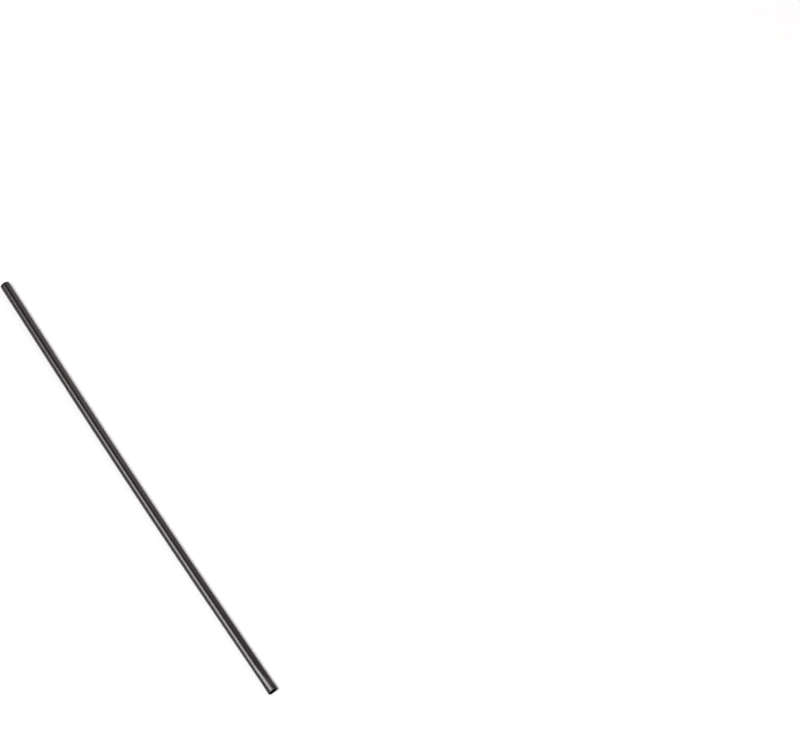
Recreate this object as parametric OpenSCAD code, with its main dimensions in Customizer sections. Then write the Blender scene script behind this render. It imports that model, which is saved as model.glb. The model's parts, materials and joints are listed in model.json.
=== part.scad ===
// Coffee stirrer straw: one extruded length of thin-walled plastic tube, open from mouth to mouth.
// It lies along X on its side, with its slight bow level in the XY plane and its belly towards -Y.
// The origin is under the middle of its box, on the surface that it lies on.

/* [Tube] */
// Length of the straw in a straight line from mouth to mouth
straw_length = 178; // [120:1:260]
// Outside diameter of the tube
outer_diameter = 3.45; // [2.5:0.05:8]
// Thickness of the tube's wall
wall = 0.2; // [0.15:0.01:0.5]

/* [Bow] */
// How far the middle of the straw stands out from the line between its mouths
bow = 0.75; // [0.2:0.05:4]
// Straight stretch behind each mouth, which the bow doesn't reach
straight_end = 36; // [15:1:50]

/* [Cut mouths] */
// Radius of the rounded edges of the round mouth at -X, outside and inside
edge_round = 0.05; // [0.02:0.01:0.06]
// Stretch of tube behind the mouth at +X that the knife squeezed
squeeze_length = 10; // [5:0.5:14]
// How far that mouth was pressed in, from each of two opposite sides
squeeze_depth = 0.26; // [0.1:0.01:0.34]
// How far it gave way outwards between them
squeeze_spread = 0.1; // [0.02:0.01:0.12]
// How far the squeeze leans from upright towards -Y, seen along the straw
squeeze_roll = 38; // [0:1:38]

/* [Colour] */
// Black of the moulding-grade plastic, as red, green and blue from 0 to 1
plastic_black = [0.1, 0.1, 0.105];

/* [Hidden] */
$fn = 96;

// Points that follow each rounded edge
edge_steps = 4;
// How far a piece is drawn past a face where it is then cut off, or cut out
overrun = 1;

outer_r = outer_diameter / 2;
bore_r = outer_r - wall;

// The bow is an arc that each straight end leaves on its tangent.
// Its half angle and radius follow from the length, the bow and the straight ends.
half_turn = 2 * atan(bow / (straw_length / 2 + straight_end));
bow_r = (straw_length / 2 - straight_end * cos(half_turn)) / sin(half_turn);

// Where the two pressed sides start to sink. The wall between them gives way by only first_spread
// up to spread_start, and by the rest from there on.
squeeze_start = straight_end - squeeze_length;
spread_start = straight_end - 0.4 * squeeze_length;
first_spread = 0.05 * squeeze_spread;
squeeze_lean = atan(squeeze_depth / squeeze_length);
spread_slope = (squeeze_spread - first_spread) / (straight_end - spread_start);
// Radius of the pressed sides, which are flatter than the tube
pressed_r = 0.75 * outer_diameter;
// Length of the straight end that is drawn as plain tube, up to just before the squeeze
round_length = squeeze_start - overrun;

// Shape of the squeezed mouth: its radius where it spread, how far the middle of a pressed side's arc
// lies beyond the tube's axis, and the angle from the middle of a pressed side to its end
mouth_r = outer_r + squeeze_spread;
arc_back = pressed_r - outer_r + squeeze_depth;
pressed_end = acos((pow(pressed_r, 2) - pow(mouth_r, 2) - pow(arc_back, 2)) / (2 * arc_back * mouth_r));
// How far that mouth reaches out across the bow
mouth_reach = mouth_r * cos(pressed_end + squeeze_roll - 90);

// The straw's width across its bow, which sets the middle's place either side of Y = 0
bow_width = bow_r * (1 - cos(half_turn)) + straight_end * sin(half_turn)
            + outer_r + mouth_reach * cos(half_turn);
middle_y = outer_r - bow_width / 2;

// Points of a rounded edge that runs on from the point p, turning from one angle to another
function rounded_edge(p, from, to) =
    [for (i = [1 : edge_steps])
        let (angle = from + (to - from) * i / edge_steps)
        p + edge_round * [cos(angle) - cos(from), sin(angle) - sin(from)]];

function reversed(points) = [for (i = [len(points) - 1 : -1 : 0]) points[i]];

// Half section of the wall of the round end, as radius against distance from its start
module wall_section() {
    outside = [outer_r, straight_end - edge_round];
    inside = [bore_r, straight_end - edge_round];
    polygon(concat(
        [[bore_r, 0], [outer_r, 0], outside],
        rounded_edge(outside, 0, 90),
        reversed(rounded_edge(inside, 180, 90)),
        [inside]
    ));
}

// Straight end of the tube, from its start at the origin to its round mouth at -X
module round_end() {
    rotate([0, -90, 0])
        rotate_extrude()
            wall_section();
}

// Solid that fills the squeezed tube up to one face of its wall, along +Z and past both its ends.
// That face lies inset from the outside. Two leaning cylinders press opposite sides of the wall in.
module squeezed_core(inset) {
    r = outer_r - inset;
    foot = round_length - overrun;
    top = straight_end + overrun;
    intersection() {
        rotate_extrude()
            polygon([
                [0, foot],
                [r, foot],
                [r, squeeze_start],
                [r + first_spread, spread_start],
                [r + first_spread + spread_slope * (top - spread_start), top],
                [0, top]
            ]);
        intersection_for (side = [-1, 1])
            translate([side * (outer_r - pressed_r), 0, squeeze_start])
                rotate([0, -side * squeeze_lean, 0])
                    translate([0, 0, foot - squeeze_start - overrun])
                        cylinder(top - foot + 2 * overrun, r = pressed_r - inset);
    }
}

// Straight end of the tube, from its start at the origin to its squeezed mouth at -X
module squeezed_end() {
    rotate([0, -90, 0]) rotate([0, 0, -squeeze_roll]) {
        rotate_extrude()
            translate([bore_r, 0])
                square([wall, round_length]);
        intersection() {
            difference() {
                squeezed_core(0);
                squeezed_core(wall);
            }
            translate([0, 0, round_length])
                cylinder(straight_end - round_length, r = outer_diameter);
        }
    }
}

// Half of the bow, from its start at the origin, where it runs along +X, to just past the middle
module half_bow() {
    translate([0, bow_r, 0])
        rotate([0, 0, -90])
            rotate_extrude(angle = half_turn + atan(overrun / bow_r))
                translate([bow_r, 0])
                    difference() {
                        circle(outer_r);
                        circle(bore_r);
                    }
}

// The half of the straw at -X, cut off square at X = 0, with the straight end that it is given
module half_straw() {
    intersection() {
        translate([-bow_r * sin(half_turn), middle_y + bow_r * (1 - cos(half_turn)), outer_r])
            rotate([0, 0, -half_turn]) {
                children();
                half_bow();
            }
        translate([-straw_length, -bow_width, -outer_r])
            cube([straw_length, 2 * bow_width, 4 * outer_r]);
    }
}

module straw_tube() {
    color(plastic_black) {
        half_straw() round_end();
        mirror([1, 0, 0]) half_straw() squeezed_end();
    }
}

straw_tube();
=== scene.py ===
"""Coffee stirrer straw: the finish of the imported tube, on a plain white floor in soft studio light.

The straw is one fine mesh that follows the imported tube's own centreline, radii and mouths, dressed in the
satin black of extruded polypropylene.
"""

import json
import logging
import math
from dataclasses import dataclass
from enum import Enum
from typing import Any, Sequence, Union

import bpy
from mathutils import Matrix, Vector

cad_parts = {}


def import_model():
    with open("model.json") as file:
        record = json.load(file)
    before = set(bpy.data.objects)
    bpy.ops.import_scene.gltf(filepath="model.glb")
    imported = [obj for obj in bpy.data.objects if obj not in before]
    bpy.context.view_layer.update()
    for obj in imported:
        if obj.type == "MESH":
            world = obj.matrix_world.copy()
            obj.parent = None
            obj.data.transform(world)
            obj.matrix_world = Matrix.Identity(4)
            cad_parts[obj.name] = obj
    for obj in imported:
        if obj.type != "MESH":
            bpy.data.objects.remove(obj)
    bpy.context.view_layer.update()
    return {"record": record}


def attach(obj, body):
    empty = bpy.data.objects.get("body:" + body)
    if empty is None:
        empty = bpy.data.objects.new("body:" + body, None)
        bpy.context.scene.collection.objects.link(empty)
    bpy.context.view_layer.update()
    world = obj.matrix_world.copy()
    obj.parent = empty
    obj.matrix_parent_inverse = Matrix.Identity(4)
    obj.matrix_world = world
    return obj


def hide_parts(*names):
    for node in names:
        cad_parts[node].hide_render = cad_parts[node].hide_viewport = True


frame: dict[str, Any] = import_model()

log = logging.getLogger("straw")

MM = 0.001
Colour = tuple[float, float, float]
Term = Union[int, float, Sequence[float], "Link"]


def opaque(colour: Colour) -> tuple[float, float, float, float]:
    """The colour with an alpha of 1, as shader sockets take it."""
    return (*colour, 1.0)


def direction(azimuth: float, elevation: float) -> Vector:
    """The direction from the straw to something that stands around it.

    Args:
        azimuth: Degrees round from -Y towards +X.
        elevation: Degrees above the floor.

    Returns:
        A vector of length 1.
    """
    round_z, up = math.radians(azimuth), math.radians(elevation)
    level = math.cos(up)
    return Vector((math.sin(round_z) * level, -math.cos(round_z) * level, math.sin(up)))


class Link:
    """One output of a shader node, on which Python's own operators do the shader maths."""

    def __init__(self, graph: "Graph", socket: bpy.types.NodeSocket) -> None:
        """Wraps a socket.

        Args:
            graph: The node graph that the socket belongs to.
            socket: The output to wrap.
        """
        self.graph = graph
        self.socket = socket

    def _math(self, operation: str, first: Term, second: Term) -> "Link":
        """Adds a Math node.

        Args:
            operation: The Math node's operation.
            first: The first value or link.
            second: The second value or link.

        Returns:
            The node's result.
        """
        return self.graph.node("ShaderNodeMath", {"operation": operation}, {0: first, 1: second})

    def __add__(self, other: Term) -> "Link":
        """This value plus another."""
        return self._math("ADD", self, other)

    __radd__ = __add__

    def __sub__(self, other: Term) -> "Link":
        """This value less another."""
        return self._math("SUBTRACT", self, other)

    def __rsub__(self, other: Term) -> "Link":
        """Another value less this one."""
        return self._math("SUBTRACT", other, self)

    def __mul__(self, other: Term) -> "Link":
        """This value times another."""
        return self._math("MULTIPLY", self, other)

    __rmul__ = __mul__

    def or_more(self, other: Term) -> "Link":
        """The greater of this value and another."""
        return self._math("MAXIMUM", self, other)

    def ramp(self, low: float, high: float) -> "Link":
        """Turns this value into a smooth 0 to 1 mask.

        Args:
            low: The value that becomes 0.
            high: The value that becomes 1.

        Returns:
            The mask.
        """
        settings = {"interpolation_type": "SMOOTHSTEP"}
        return self.graph.node("ShaderNodeMapRange", settings, {0: self, 1: low, 2: high})

    def over(self, lengths: Sequence[float]) -> "Link":
        """Divides this vector part by part, so that the given lengths become 1 unit.

        Args:
            lengths: One length for each part of the vector.

        Returns:
            The divided vector.
        """
        factors = [1 / length for length in lengths]
        return self.graph.node("ShaderNodeVectorMath", {"operation": "MULTIPLY"}, {0: self, 1: factors})

    def output(self, name: str) -> "Link":
        """Another output of the same node."""
        return Link(self.graph, self.socket.node.outputs[name])


class Graph:
    """The nodes of one material, or of the world."""

    def __init__(self, owner: Union[bpy.types.Material, bpy.types.World]) -> None:
        """Clears the owner's nodes.

        Args:
            owner: The material or world whose nodes these are.
        """
        owner.use_nodes = True
        self.tree = owner.node_tree
        self.tree.nodes.clear()

    def add(
        self,
        kind: str,
        settings: dict[str, Any] | None = None,
        sockets: dict[int | str, Term] | None = None,
    ) -> bpy.types.Node:
        """Adds a node.

        Args:
            kind: The node's type.
            settings: The node's own settings, set before its sockets.
            sockets: A value or link for each input, by place or name.

        Returns:
            The node.
        """
        made = self.tree.nodes.new(kind)
        for name, value in (settings or {}).items():
            setattr(made, name, value)
        for name, value in (sockets or {}).items():
            if isinstance(value, Link):
                self.tree.links.new(value.socket, made.inputs[name])
            else:
                made.inputs[name].default_value = value
        return made

    def node(
        self,
        kind: str,
        settings: dict[str, Any] | None = None,
        sockets: dict[int | str, Term] | None = None,
        output: int | str = 0,
    ) -> Link:
        """Adds a node whose output is used.

        Args:
            kind: The node's type.
            settings: The node's own settings, set before its sockets.
            sockets: A value or link for each input, by place or name.
            output: The output to return, by place or name.

        Returns:
            The chosen output.
        """
        return Link(self, self.add(kind, settings, sockets).outputs[output])

    def mixed(self, factor: Term, first: Term, second: Term) -> Link:
        """Mixes two colours.

        Args:
            factor: How much of the second colour there is, from 0 to 1.
            first: The first colour, with its alpha.
            second: The second colour, with its alpha.

        Returns:
            The mixed colour.
        """
        return self.node("ShaderNodeMix", {"data_type": "RGBA"}, {0: factor, 6: first, 7: second}, 2)

    def noise(self, place: Term, detail: float) -> Link:
        """A noise pattern whose features are about one unit of the given place across.

        Args:
            place: The vector that the pattern is read at.
            detail: How many finer layers the pattern has.

        Returns:
            The pattern's value, about 0.5 on average.
        """
        sockets = {"Vector": place, "Scale": 1.0, "Detail": detail, "Roughness": 0.5}
        return self.node("ShaderNodeTexNoise", None, sockets, "Fac")


class Mark(Enum):
    """Attributes that the straw's mesh carries for its finish."""

    STRAIGHT_PLACE = "straight_place"
    CUT = "cut"


@dataclass(frozen=True)
class BlackPolypropylene:
    """Black polypropylene as it leaves the extruder: satin, with fine lines drawn along its length.

    Noise gives three things: the drawn lines, a slower drift of the gloss, and specks of dust where the drift
    is high. The knife's cuts at the mouths are duller, and paler: that pale grey is partly the dull cut and
    partly a painted highlight for the light that the rounded rims catch.
    """

    slot: str = "black_polypropylene"
    ior: float = 1.49

    colour: Colour = (0.0125, 0.0085, 0.008)
    dusty_colour: Colour = (0.03, 0.03, 0.03)
    # Pale grey of the cut rims: partly the dull cut, partly a painted rim highlight.
    cut_and_rim_highlight_colour: Colour = (0.16, 0.15, 0.15)
    dust_share: float = 0.5
    drift_share: float = 0.1
    line_share: float = 0.1
    cut_and_rim_highlight_share: float = 0.8

    roughness: float = 0.22
    roughness_swing: float = 0.04
    dust_roughness: float = 0.15
    cut_roughness: float = 0.5

    line_width: float = 0.12 * MM
    line_length: float = 40 * MM
    line_depth: float = 0.0009 * MM
    line_detail: float = 2.0
    drift_width: float = 1.5 * MM
    drift_length: float = 25 * MM
    drift_detail: float = 1.0
    dusty_drift: tuple[float, float] = (0.4, 0.7)
    speck_size: float = 0.25 * MM
    speck_detail: float = 3.0
    speck_edge: tuple[float, float] = (0.68, 0.78)

    def material(self) -> bpy.types.Material:
        """Builds the shader.

        Returns:
            The material.
        """
        made = bpy.data.materials.new("black_polypropylene")
        graph = Graph(made)
        name = {"attribute_name": Mark.STRAIGHT_PLACE.value}
        place = graph.node("ShaderNodeAttribute", name, None, "Vector")
        cut = graph.node("ShaderNodeAttribute", {"attribute_name": Mark.CUT.value}, None, "Fac")

        line_size = (self.line_length, self.line_width, self.line_width)
        lines = graph.noise(place.over(line_size), self.line_detail)
        drift_size = (self.drift_length, self.drift_width, self.drift_width)
        drift = graph.noise(place.over(drift_size), self.drift_detail)
        specks = graph.noise(place.over((self.speck_size,) * 3), self.speck_detail)
        dust = specks.ramp(*self.speck_edge) * drift.ramp(*self.dusty_drift)

        dusty = dust * self.dust_share + drift * self.drift_share + lines * self.line_share
        colour = graph.mixed(dusty, opaque(self.colour), opaque(self.dusty_colour))
        # Painted rim highlight: the rims at both mouths are mixed towards a pale grey, partly the dull cut
        # and partly the light the rims catch.
        colour = graph.mixed(cut * self.cut_and_rim_highlight_share, colour, opaque(self.cut_and_rim_highlight_colour))
        rough = (drift - 0.5) * self.roughness_swing + (lines - 0.5) * self.roughness_swing
        rough = rough + dust * self.dust_roughness + self.roughness
        rough = rough + cut * (self.cut_roughness - self.roughness)
        relief = {"Height": lines, "Strength": 1.0, "Distance": self.line_depth}
        sockets = {
            "Base Color": colour,
            "Roughness": rough,
            "IOR": self.ior,
            "Normal": graph.node("ShaderNodeBump", None, relief),
        }
        shader = graph.node("ShaderNodeBsdfPrincipled", None, sockets)
        graph.add("ShaderNodeOutputMaterial", None, {"Surface": shader})
        return made


@dataclass(frozen=True)
class WhiteFloor:
    """A matt white floor, which keeps the straw's soft shadow.

    A faint glow lifts it to full white where it is seen, and doesn't light the straw's matt surface.
    """

    colour: Colour = (0.95, 0.95, 0.95)
    glow: float = 0.1

    def material(self) -> bpy.types.Material:
        """Builds the shader.

        Returns:
            The material.
        """
        made = bpy.data.materials.new("white_floor")
        graph = Graph(made)
        seen = graph.node("ShaderNodeLightPath", None, None, "Is Camera Ray")
        shown = seen.or_more(seen.output("Is Glossy Ray")).or_more(seen.output("Is Transmission Ray"))
        matt = graph.node("ShaderNodeBsdfDiffuse", None, {"Color": opaque(self.colour)})
        glow = graph.node("ShaderNodeEmission", None, {"Strength": shown * self.glow})
        both = graph.node("ShaderNodeAddShader", None, {0: matt, 1: glow})
        graph.add("ShaderNodeOutputMaterial", None, {"Surface": both})
        return made


@dataclass(frozen=True)
class BowedLine:
    """The straw's centreline: an arc in the middle, and at each side a straight end on its tangent."""

    middle: Vector
    radius: float
    half_turn: float
    straight: float

    @classmethod
    def from_mount(cls, mount: dict[str, Any], straight: float) -> "BowedLine":
        """Works the line out from a mount at +X, whose place is the middle of its own stretch.

        Args:
            mount: The record's mount, whose stretch starts where the straight end does.
            straight: Length of the straight end.

        Returns:
            The centreline.
        """
        axis = Vector(mount["axis"])
        joint = Vector(mount["pos_m"]) - axis * mount["dims"]["length_mm"] * MM / 2
        half_turn = math.atan2(axis.y, axis.x)
        radius = joint.x / math.sin(half_turn)
        middle = Vector((0.0, joint.y - radius * (1 - math.cos(half_turn)), joint.z))
        return cls(middle, radius, half_turn, straight)

    @property
    def half_length(self) -> float:
        """Length of the line from its middle to a mouth."""
        return self.radius * self.half_turn + self.straight

    def at(self, along: float) -> tuple[Vector, Vector]:
        """A place on the line.

        Args:
            along: Distance from the middle along the line, negative towards the -X mouth.

        Returns:
            The point, and the line's direction there, towards +X.
        """
        side = math.copysign(1.0, along)
        turn = min(abs(along) / self.radius, self.half_turn)
        past = max(abs(along) - self.radius * self.half_turn, 0.0)
        x = self.radius * math.sin(turn) + past * math.cos(turn)
        y = self.radius * (1 - math.cos(turn)) + past * math.sin(turn)
        point = self.middle + Vector((side * x, y, 0.0))
        return point, Vector((math.cos(turn), side * math.sin(turn), 0.0))


@dataclass(frozen=True)
class Squeeze:
    """The knife's squeeze behind the +X mouth: two sides pressed in, and the wall between them spread.

    The wall spreads by first_spread over most of the squeeze, and by the rest over its last spread_share.
    The pressed sides are arcs of pressed_radius times the tube's own, and crease is how far the fold where
    they meet the spread wall is softened at the mouth.
    """

    start: float
    length: float
    depth: float = 0.26 * MM
    spread: float = 0.1 * MM
    first_spread: float = 0.005 * MM
    spread_share: float = 0.4
    pressed_radius: float = 1.5
    roll: float = math.radians(38)
    crease: float = 0.03 * MM

    def radius(self, outer: float, inset: float, along: float, turn: float) -> float:
        """The radius of the wall at one place.

        Args:
            outer: The tube's outside radius.
            inset: How far the place lies inside the wall's outside.
            along: Distance along the line from the straw's middle.
            turn: Angle round the tube, from straight down towards +Y.

        Returns:
            The distance from the line.
        """
        done = max(along - self.start, 0.0) / self.length
        if done == 0.0:
            return outer - inset
        steep = max(1 - (1 - done) / self.spread_share, 0.0)
        spread = self.first_spread * min(done / (1 - self.spread_share), 1.0)
        spread += (self.spread - self.first_spread) * steep
        pressed = outer * self.pressed_radius
        back = pressed - outer + self.depth * done
        turn -= self.roll
        across = math.sqrt((pressed - inset) ** 2 - (back * math.sin(turn)) ** 2)
        flat = across - back * abs(math.cos(turn))
        crease = self.crease * done
        gap = (outer + spread - inset - flat) / crease
        return flat + crease * (min(gap, 0.0) - math.log1p(math.exp(-abs(gap))))


@dataclass(frozen=True)
class Ring:
    """One ring of the straw's mesh.

    It holds its distance along the line, how far inside the wall it lies, and how much it is cut plastic.
    """

    along: float
    inset: float
    cut: float


class Band(Enum):
    """Strips of the straw's map, each with the heights that it lies between."""

    OUTSIDE = (0.01, 0.51)
    MOUTH = (0.52, 0.54)
    BORE = (0.55, 0.96)
    FAR_MOUTH = (0.97, 0.99)


@dataclass
class StrawTube:
    """The straw: one thin wall, swept along the bowed line and turned over at each mouth."""

    line: BowedLine
    squeeze: Squeeze
    outer: float
    wall: float
    edge: float
    ring_step: float = 1.5 * MM
    squeezed_step: float = 0.4 * MM
    edge_rings: int = 6
    sides: int = 120
    name: str = "straw"
    map_name: str = "OFBake"
    map_margin: float = 0.01

    @classmethod
    def from_frame(cls, record: dict[str, Any], edge: float = 0.05 * MM) -> "StrawTube":
        """Takes the tube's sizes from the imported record's mounts.

        Args:
            record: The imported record.
            edge: Radius of the rounded edges of both mouths.

        Returns:
            The straw.
        """
        mounts = {m["name"]: m for m in record["mounts"]}
        outside, bore = mounts["outside_at_plus_x"]["dims"], mounts["bore_at_plus_x"]["dims"]
        straight = mounts["outside_at_minus_x"]["dims"]["length_mm"] * MM + edge
        line = BowedLine.from_mount(mounts["outside_at_plus_x"], straight)
        squeezed = straight - outside["length_mm"] * MM
        squeeze = Squeeze(line.half_length - squeezed, squeezed)
        wall = (outside["r_mm"] - bore["r_mm"]) * MM
        return cls(line, squeeze, outside["r_mm"] * MM, wall, edge)

    def wall_rings(self, inset: float) -> list[Ring]:
        """Rings of one face of the wall, from its -X end to its +X end.

        Args:
            inset: How far the face lies inside the wall's outside.

        Returns:
            The rings.
        """
        end = self.line.half_length - self.edge
        places = []
        for start, stop, step in (
            (-end, self.squeeze.start, self.ring_step),
            (self.squeeze.start, end, self.squeezed_step),
        ):
            count = round((stop - start) / step)
            places += [start + (stop - start) * i / count for i in range(count)]
        return [Ring(a, inset, 0.0) for a in places + [end]]

    def edge_arc(self, inset: float, inwards: int) -> list[Ring]:
        """Rings of a rounded edge at the +X mouth, from the face of the wall to the face of the cut.

        Args:
            inset: How far that face of the wall lies inside the wall's outside.
            inwards: 1 if the cut lies inside the face of the wall, and -1 if it lies outside it.

        Returns:
            The rings.
        """
        rings = []
        for i in range(1, self.edge_rings + 1):
            angle = math.pi / 2 * i / self.edge_rings
            along = self.line.half_length - self.edge * (1 - math.sin(angle))
            rings.append(Ring(along, inset + inwards * self.edge * (1 - math.cos(angle)), 1.0))
        return rings

    def profile(self) -> list[tuple[Band, Ring]]:
        """The closed run of rings: along the outside, in at +X, back along the bore and out at -X.

        Returns:
            The rings in order, each with the band of the map that runs on from it.
        """
        mouth = self.edge_arc(0.0, 1) + self.edge_arc(self.wall, -1)[::-1]
        far_mouth = [Ring(-r.along, r.inset, r.cut) for r in reversed(mouth)]
        outside, bore = self.wall_rings(0.0), self.wall_rings(self.wall)[::-1]
        run = [(Band.OUTSIDE, r) for r in outside[:-1]]
        run += [(Band.MOUTH, r) for r in outside[-1:] + mouth]
        run += [(Band.BORE, r) for r in bore[:-1]]
        return run + [(Band.FAR_MOUTH, r) for r in bore[-1:] + far_mouth]

    def place(self, ring: Ring, turn: float) -> tuple[Vector, tuple[float, float, float]]:
        """A point of a ring.

        Args:
            ring: The ring.
            turn: Angle round the tube, from straight down towards +Y.

        Returns:
            The point, and its place on a straw that isn't bowed.
        """
        point, along_line = self.line.at(ring.along)
        across = Vector((-along_line.y, along_line.x, 0.0))
        radius = self.squeeze.radius(self.outer, ring.inset, ring.along, turn)
        y, z = radius * math.sin(turn), -radius * math.cos(turn)
        return point + across * y + Vector((0.0, 0.0, z)), (ring.along, y, z)

    def map_corners(self, run: list[tuple[Band, Ring]], i: int, side: int) -> list[tuple[float, float]]:
        """The corners of one face on the map: the walls run along it, and the mouths' rims go across it.

        Args:
            run: The rings, each with the band that runs on from it.
            i: The face's first ring.
            side: The face's first point round the tube.

        Returns:
            The four corners.
        """
        band = run[i][0]
        low, high = band.value
        if band in (Band.OUTSIDE, Band.BORE):
            ends = [0.5 + run[k][1].along / (2 * self.line.half_length) for k in (i, i + 1)]
        else:
            own = [k for k, (other, _) in enumerate(run) if other is band]
            ends = [(k - own[0]) / len(own) for k in (i, i + 1)]
        corners = []
        for end, step in ((0, 0), (0, 1), (1, 1), (1, 0)):
            places = [ends[end], (side + step) / self.sides]
            if band in (Band.MOUTH, Band.FAR_MOUTH):
                places.reverse()
            u = self.map_margin + (1 - 2 * self.map_margin) * places[0]
            corners.append((u, low + (high - low) * places[1]))
        return corners

    def build(self) -> bpy.types.Object:
        """Builds the mesh, with its attributes and its map.

        Returns:
            The straw's object.
        """
        run = self.profile()
        vertices, straight, cuts = [], [], []
        for _, ring in run:
            for j in range(self.sides):
                point, place = self.place(ring, 2 * math.pi * (j + 0.5) / self.sides)
                vertices.append(point)
                straight.append(place)
                cuts.append(ring.cut)
        faces, map_places = [], []
        for i in range(len(run)):
            after = (i + 1) % len(run)
            for j in range(self.sides):
                beside = (j + 1) % self.sides
                corners = ((i, j), (i, beside), (after, beside), (after, j))
                faces.append([ring * self.sides + side for ring, side in corners])
                map_places += self.map_corners(run, i, j)
        mesh = bpy.data.meshes.new(self.name)
        mesh.from_pydata(vertices, [], faces)
        mesh.shade_smooth()
        place = mesh.attributes.new(Mark.STRAIGHT_PLACE.value, "FLOAT_VECTOR", "POINT")
        place.data.foreach_set("vector", [x for p in straight for x in p])
        cut = mesh.attributes.new(Mark.CUT.value, "FLOAT", "POINT")
        cut.data.foreach_set("value", cuts)
        mesh.uv_layers.new(name=self.map_name).data.foreach_set("uv", [x for p in map_places for x in p])
        made = bpy.data.objects.new(self.name, mesh)
        bpy.context.scene.collection.objects.link(made)
        return made

    def dress(self, made: bpy.types.Object, finish: BlackPolypropylene) -> None:
        """Gives the straw its finish, and its place in the frame.

        Args:
            made: The straw's object.
            finish: The plastic.
        """
        made.data.materials.append(finish.material())
        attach(made, "root")
        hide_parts("straw_tube")


@dataclass(frozen=True)
class Softbox:
    """A rectangular softbox, which faces the frame's origin from a direction and a distance.

    Angles are in degrees and lengths in metres, and the radiance is that of its front. With lights_matt off,
    it shows in glossy surfaces alone.
    """

    name: str
    azimuth: float
    elevation: float
    distance: float
    width: float
    height: float
    radiance: float
    lights_matt: bool = True
    colour: Colour = (1.0, 1.0, 1.0)

    def build(self) -> None:
        """Adds the lamp."""
        data = bpy.data.lights.new(self.name, "AREA")
        data.shape = "RECTANGLE"
        data.size = self.width
        data.size_y = self.height
        data.color = self.colour
        data.energy = self.radiance * math.pi * self.width * self.height
        lamp = bpy.data.objects.new(self.name, data)
        towards = direction(self.azimuth, self.elevation)
        lamp.location = towards * self.distance
        lamp.rotation_euler = towards.to_track_quat("Z", "Y").to_euler()
        lamp.visible_diffuse = self.lights_matt
        bpy.context.scene.collection.objects.link(lamp)


@dataclass
class Studio:
    """Camera, floor, lamps and surroundings.

    The camera looks at aim from the given direction and distance. The main softbox lights the straw and the
    floor from above, the key and the strip draw its highlight, and the fill lightens its far side.
    """

    aim: tuple[float, float, float] = (0.013941, 0.096395, 0.0)
    azimuth: float = 57.52
    elevation: float = 62.10
    distance: float = 1.0047
    lens_mm: float = 132.995
    sensor_mm: float = 36.0
    view_depth: float = 100.0
    floor_size: float = 30.0
    wall_level: float = 0.22
    ceiling_level: float = 0.31
    ceiling_edge: tuple[float, float] = (0.0, 0.5)
    room_colour: Colour = (1.0, 0.955, 0.945)
    key: Softbox = Softbox("left_softbox", 330.2, 45.2, 1.0, 0.367, 0.554, 8.7, lights_matt=False)
    strip: Softbox = Softbox("left_strip", 347.8, 32.5, 1.0, 0.175, 0.38, 14.4, lights_matt=False)
    main: Softbox = Softbox("near_softbox", 26.8, 70.6, 2.0, 0.58, 0.76, 21.5)
    fill: Softbox = Softbox("far_strip", 214.3, 31.0, 1.6, 0.42, 0.95, 1.95, colour=(1.0, 0.92, 0.9))

    def build_camera(self) -> None:
        """Adds the camera, at the photograph's angle."""
        data = bpy.data.cameras.new("camera")
        data.sensor_fit = "HORIZONTAL"
        data.sensor_width = self.sensor_mm
        data.lens = self.lens_mm
        data.clip_end = self.view_depth
        camera = bpy.data.objects.new("camera", data)
        towards = direction(self.azimuth, self.elevation)
        camera.location = Vector(self.aim) + towards * self.distance
        camera.rotation_euler = towards.to_track_quat("Z", "Y").to_euler()
        bpy.context.scene.collection.objects.link(camera)
        bpy.context.scene.camera = camera

    def build_floor(self) -> None:
        """Adds the floor that the straw lies on."""
        half = self.floor_size / 2
        mesh = bpy.data.meshes.new("floor")
        corners = [(-half, -half, 0.0), (half, -half, 0.0), (half, half, 0.0), (-half, half, 0.0)]
        mesh.from_pydata(corners, [], [(0, 1, 2, 3)])
        floor = bpy.data.objects.new("floor", mesh)
        bpy.context.scene.collection.objects.link(floor)
        mesh.materials.append(WhiteFloor().material())

    def build_surroundings(self) -> None:
        """Sets the room's light: dim walls under a somewhat brighter ceiling."""
        world = bpy.data.worlds.new("studio")
        bpy.context.scene.world = world
        graph = Graph(world)
        towards = graph.node("ShaderNodeTexCoord", None, None, "Generated")
        height = graph.node("ShaderNodeSeparateXYZ", None, {0: towards}, "Z")
        overhead = height.ramp(*self.ceiling_edge)
        level = overhead * (self.ceiling_level - self.wall_level) + self.wall_level
        sockets = {"Strength": level, "Color": opaque(self.room_colour)}
        light = graph.node("ShaderNodeBackground", None, sockets)
        graph.add("ShaderNodeOutputWorld", None, {"Surface": light})

    def build(self) -> None:
        """Builds the whole studio."""
        self.build_camera()
        self.build_floor()
        self.build_surroundings()
        for softbox in (self.key, self.strip, self.main, self.fill):
            softbox.build()
        bpy.context.scene.view_settings.view_transform = "Standard"


def main() -> None:
    """Builds the straw and the studio around it; the imported tube stays in the scene, hidden."""
    logging.basicConfig(level=logging.INFO, format="%(name)s: %(message)s")
    straw = StrawTube.from_frame(frame["record"])
    made = straw.build()
    straw.dress(made, BlackPolypropylene())
    log.info("%s: %d faces on body root", made.name, len(made.data.polygons))
    Studio().build()
    log.info("studio built")
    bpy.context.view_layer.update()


if __name__ == "__main__":
    main()
